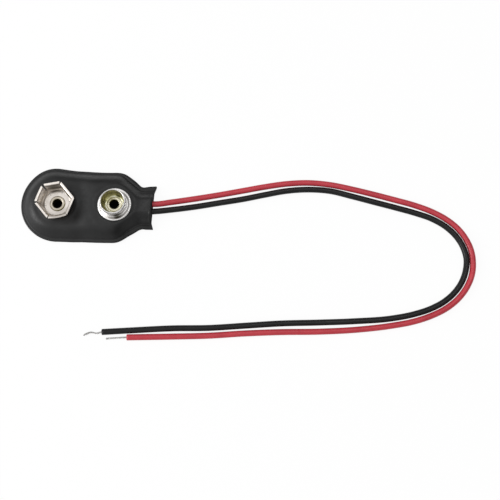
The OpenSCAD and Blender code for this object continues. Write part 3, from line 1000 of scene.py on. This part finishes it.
stud = turned("stud_cup", STUD_X, stud_section())
shade(stud, TURNED_SHARP)
paint_wear_and_shade(stud, stud_brass_and_painted_light)
dress(stud, STUD_NICKEL, "nickel", "stud_contact")
for label, x, material in (("stud", STUD_X, BRASS), ("socket", SOCKET_X, PLATED)):
    eyelet = turned(f"{label}_eyelet", x, rivet_section())
    shade(eyelet, TURNED_SHARP)
    paint_wear_and_shade(eyelet, eyelet_painted_shade(x, *EYELET_SHARES[label]))
    dress(eyelet, material, "brass", f"{label}_rivet")

# Socket: a round floor and six spring petals, bent up, drawn in at the waist and flared at the lip
PETALS = 6
HALF_TURN = math.pi / PETALS
SOCKET_TURN = 11
WAIST_W = 5.65
WAIST_Z = 1.5
LIP_W = 7.7
FOOT_W = 6.5
BEND_R = 0.3
SLIT = 0.08
SOCKET_H = 3.08
PETAL_STEPS = 14
CURL_R = 0.3
CURL_W = 0.11
CURL_RUN = 0.32
LIP_CORNER = 0.07
FLOOR_ROUND = 1.03
FLOOR_RINGS = 5
WAIST_FOLLOW = 0.3
LEAN_BEND = 1.6
CURL_FROM = 160
BEND_STEPS = 8
WALL_STEPS = 8
CURL_STEPS = 6
RUN_STEPS = 3
CORNER_ROWS = 2
SPREAD_FROM = 0.5
ROUND_RUN = (0.1, 1.5)
# How far each petal has sprung from the drawn lip, the gap to the next one at the lip, and how far it bows
SPRUNG = (-0.05, 0.42, 0.37, 0.05, 0.2, 0.2)
LIP_GAPS = (0.2, 0.34, 0.24, 0.13, 0.05, 0.04)
LIP_BOWS = (0, 0, 0.06, 0, 0.22, 0)


# Middle line of a petal's sheet, from the floor out and up
def petal_line(lip_r):
    bend_r = BEND_R + CONTACT_T / 2
    foot_r = FOOT_W / 2 - CONTACT_T / 2
    waist_r = WAIST_W / 2 + CONTACT_T / 2 + WAIST_FOLLOW * (lip_r - LIP_W / 2 + CONTACT_T / 2)
    bend_z = CONTACT_T / 2 + bend_r
    bend = arc_points(foot_r - bend_r, bend_z, bend_r, -90, 0, BEND_STEPS)
    shares = np.linspace(0, 1, WALL_STEPS + 1)[1:]
    wall = np.c_[waist_r + (foot_r - waist_r) * (1 - shares) ** 2, bend_z + (WAIST_Z - bend_z) * shares]
    top_z = SOCKET_H - CONTACT_T / 2
    curl_x, curl_z = lip_r - CURL_RUN, top_z - CURL_R
    lean_r = waist_r + (curl_x - CURL_W - waist_r) * shares**LEAN_BEND
    lean = np.c_[lean_r, WAIST_Z + (curl_z - WAIST_Z) * shares]
    angles = np.radians(np.linspace(CURL_FROM, 90, CURL_STEPS + 1)[1:])
    curl = np.c_[curl_x + CURL_W * np.cos(angles), curl_z + CURL_R * np.sin(angles)]
    run = np.c_[np.linspace(curl_x, lip_r, RUN_STEPS + 1)[1:], np.full(RUN_STEPS, top_z)]
    return np.vstack([bend, wall, lean, curl, run])


# Painted shade lies in the bend round the floor, most of it at the back and the front, and darkens floor,
# walls and lip
BACK_AT = (98, 26)
LEFT_AT = (172, 68)
FRONT_AT = (-67, 42)
RIGHT_AT = (35, 25)
FLOOR_SHADE = 0.12
FRONT_FLOOR_SHADE = 0.24
FLOOR_SHADE_RUN = (0.5, 0.3)
WALL_SHADE = 0.06
BACK_WALL_SHADE = 0.25
BACK_TOP_SHADE = 0.5
BACK_TOP_RUN = (1.2, 2.2)
RIGHT_WALL_SHADE = 0.85
WALL_FOOT_RUN = (0.4, 0.7)
WALL_TOP_RUN = (3.0, 2.8)
FRONT_LIP_SHADE = 0.4
LIP_SHADE_RUN = (2.7, 2.9)
BEND_AT = (FOOT_W / 2 - CONTACT_T - 0.06, 0.17)
BEND_TOP_RUN = (0.95, 0.45)
BEND_FOOT_RUN = (0.1, 0.28)
BEND_SHADE = 0.25
BACK_BEND_SHADE = 0.6
LEFT_BEND_SHADE = 0.15
FRONT_BEND_SHADE = 0.7


def socket_painted_shade(places):
    radius, height, angle = about(SOCKET_X, places)
    back, left, front, right = [towards(angle, *way) for way in (BACK_AT, LEFT_AT, FRONT_AT, RIGHT_AT)]
    floor = (FLOOR_SHADE + FRONT_FLOOR_SHADE * front) * smoothstep(*FLOOR_SHADE_RUN, height)
    back_wall = BACK_WALL_SHADE + BACK_TOP_SHADE * smoothstep(*BACK_TOP_RUN, height)
    wall = WALL_SHADE + back_wall * back + RIGHT_WALL_SHADE * right
    wall = wall * smoothstep(*WALL_FOOT_RUN, height) * smoothstep(*WALL_TOP_RUN, height)
    lip = FRONT_LIP_SHADE * front * smoothstep(*LIP_SHADE_RUN, height)
    bend = hump(*BEND_AT, radius) * smoothstep(*BEND_TOP_RUN, height) * smoothstep(*BEND_FOOT_RUN, height)
    bend = bend * (BEND_SHADE + BACK_BEND_SHADE * back + LEFT_BEND_SHADE * left + FRONT_BEND_SHADE * front)
    return floor + wall + lip + bend


# Reach of a petal's lip to either side, short of its neighbours
def lip_ends(k, lips):
    ends = []
    for side, other, gap in ((-1, k - 1, LIP_GAPS[k - 1]), (1, (k + 1) % PETALS, LIP_GAPS[k])):
        corner = (lips[other] - lips[k] * math.cos(2 * HALF_TURN)) / math.sin(2 * HALF_TURN)
        ends.append((side, corner - gap))
    return ends


# Rows of points across a petal and its share of the floor, from the hole out and up to the lip
def petal_rows(k, lips):
    slit_x = SLIT / 2 / math.sin(HALF_TURN)
    floor_r = FOOT_W / 2 - CONTACT_T - BEND_R
    turn = math.radians(SOCKET_TURN) + (2 * k + 1) * HALF_TURN
    out = np.array([math.cos(turn), math.sin(turn)])
    along = np.array([-math.sin(turn), math.cos(turn)])
    line = petal_line(lips[k])
    ends = lip_ends(k, lips)
    rows = []
    for i, (u, z) in enumerate(line):
        up = smoothstep(SPREAD_FROM, SOCKET_H, z)
        cut = LIP_CORNER * (max(0, i + 1 + CORNER_ROWS - len(line)) / CORNER_ROWS) ** 2
        plain = (1 - up) * (u - slit_x) * math.tan(HALF_TURN)
        low, high = [side * (plain + up * reach * u / lips[k] - cut) for side, reach in ends]
        across = np.linspace(low, high, PETAL_STEPS + 1)
        height = np.full(len(across), z)
        bow = LIP_BOWS[k] * up * (1 - (2 * np.arange(PETAL_STEPS + 1) / PETAL_STEPS - 1) ** 2)
        flat = (u + bow)[:, None] * out + across[:, None] * along
        angles = turn + np.arctan2(across, u)
        if i == 0:
            for r in np.linspace(HOLE_R, floor_r * FLOOR_ROUND, FLOOR_RINGS + 1)[:-1]:
                rows.append(np.c_[r * np.cos(angles), r * np.sin(angles), height])
        curved = FLOOR_ROUND * u * np.c_[np.cos(angles), np.sin(angles)]
        bowed = 1 - smoothstep(*ROUND_RUN, z)
        rows.append(np.c_[flat + bowed * (curved - flat), height])
    return rows


def make_socket():
    lips = [LIP_W / 2 - CONTACT_T / 2 + sprung for sprung in SPRUNG]
    points, faces, roots = [], [], []
    for k in range(PETALS):
        index = []
        for row in petal_rows(k, lips):
            index.append(range(len(points), len(points) + len(row)))
            points += list(row)
        for a, b in zip(index[:-1], index[1:]):
            for i in range(PETAL_STEPS):
                faces.append((a[i], a[i + 1], b[i + 1], b[i]))
        roots.append(index[:FLOOR_RINGS])
    for here, following in zip(roots, roots[1:] + roots[:1]):
        for a, b, c, d in zip(here, following, here[1:], following[1:]):
            faces.append((a[-1], b[0], d[0], c[-1]))
    obj = new_object("socket_petals", np.array(points) + [SOCKET_X, 0, FACE_Z], faces)
    clean(obj)
    thick = obj.modifiers.new("thickness", "SOLIDIFY")
    thick.thickness = CONTACT_T * MM
    thick.offset = 0
    thick.use_even_offset = True
    apply_modifiers(obj)
    shade(obj, PETAL_SHARP)
    paint_wear_and_shade(obj, socket_painted_shade)
    dress(obj, NICKEL, "nickel", "socket_contact")


make_socket()

# CAD nodes that stay: the board, the joint wires and their solder inside the cover
for node, material in (("contact_board", FIBRE), ("red_joint_end", TINNED), ("black_joint_end", TINNED),
                       ("red_solder", SOLDER), ("black_solder", SOLDER)):
    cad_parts[node].data.materials.clear()
    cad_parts[node].data.materials.append(material)


# Factor of one for the rays that see a surface as a camera, a mirror or a lens does
def seen_directly(tree):
    rays = tree.nodes.new("ShaderNodeLightPath")
    seen = rays.outputs["Is Camera Ray"]
    for kind in ("Is Glossy Ray", "Is Transmission Ray"):
        either = tree.nodes.new("ShaderNodeMath")
        either.operation = "MAXIMUM"
        tree.links.new(seen, either.inputs[0])
        tree.links.new(rays.outputs[kind], either.inputs[1])
        seen = either.outputs[0]
    return seen


# Floor, which a camera, metal or glass sees as white, with the object's shadow
FLOOR_SIZE = 12.0
FLOOR_Z = -0.00002
FLOOR_GREY = 0.9
FLOOR_ROUGH = 0.9
FLOOR_GLOW = 0.92


def make_floor():
    bpy.ops.mesh.primitive_plane_add(size=FLOOR_SIZE, location=(0, 0, FLOOR_Z))
    floor = bpy.context.object
    floor.name = "floor"
    material, tree, shader = new_material("white_floor")
    shader.inputs["Base Color"].default_value = (FLOOR_GREY, FLOOR_GREY, FLOOR_GREY, 1)
    shader.inputs["Roughness"].default_value = FLOOR_ROUGH
    glow = tree.nodes.new("ShaderNodeEmission")
    part = tree.nodes.new("ShaderNodeMath")
    part.operation = "MULTIPLY"
    part.inputs[1].default_value = FLOOR_GLOW
    tree.links.new(seen_directly(tree), part.inputs[0])
    mix = tree.nodes.new("ShaderNodeMixShader")
    tree.links.new(part.outputs[0], mix.inputs[0])
    tree.links.new(shader.outputs[0], mix.inputs[1])
    tree.links.new(glow.outputs[0], mix.inputs[2])
    tree.links.new(mix.outputs[0], tree.nodes["Material Output"].inputs["Surface"])
    floor.data.materials.append(material)


make_floor()


# Light: a surround that is white towards the upper left and pale grey away from it, a soft lamp from
# the left and a narrow one above the leads; each lamp with its place, length, width and power
WHITE_LEVEL = 1.0
GREY_LEVEL = 0.4
WHITE_SIDE = (-0.5, -0.1, 0.86)
GREY_TO = 0.2
WHITE_FROM = 0.9
LAMPS = {"left_lamp": ((-0.5, -0.06, 0.3), 0.3, 0.3, 2),
         "strip_lamp": ((0.11, 0.14, 0.6), 0.28, 0.06, 0.3)}


def make_lamp(name, place, length, width, power):
    data = bpy.data.lights.new(name, "AREA")
    data.shape = "RECTANGLE"
    data.size = length
    data.size_y = width
    data.energy = power
    lamp = bpy.data.objects.new(name, data)
    lamp.location = place
    lamp.rotation_mode = "QUATERNION"
    lamp.rotation_quaternion = (-Vector(place)).to_track_quat("-Z", "Y")
    SCENE.collection.objects.link(lamp)


def make_light():
    world = bpy.data.worlds.new("surround")
    world.use_nodes = True
    tree = world.node_tree
    place = tree.nodes.new("ShaderNodeTexCoord")
    towards_white = tree.nodes.new("ShaderNodeVectorMath")
    towards_white.operation = "DOT_PRODUCT"
    towards_white.inputs[1].default_value = WHITE_SIDE
    tree.links.new(place.outputs["Generated"], towards_white.inputs[0])
    level = tree.nodes.new("ShaderNodeMapRange")
    level.interpolation_type = "SMOOTHSTEP"
    level.inputs["From Min"].default_value = GREY_TO
    level.inputs["From Max"].default_value = WHITE_FROM
    level.inputs["To Min"].default_value = GREY_LEVEL
    level.inputs["To Max"].default_value = WHITE_LEVEL
    tree.links.new(towards_white.outputs["Value"], level.inputs["Value"])
    background = tree.nodes["Background"]
    background.inputs["Color"].default_value = (1, 1, 1, 1)
    tree.links.new(level.outputs["Result"], background.inputs["Strength"])
    SCENE.world = world
    for name, lamp in LAMPS.items():
        make_lamp(name, *lamp)


make_light()
SCENE.view_settings.view_transform = "Standard"
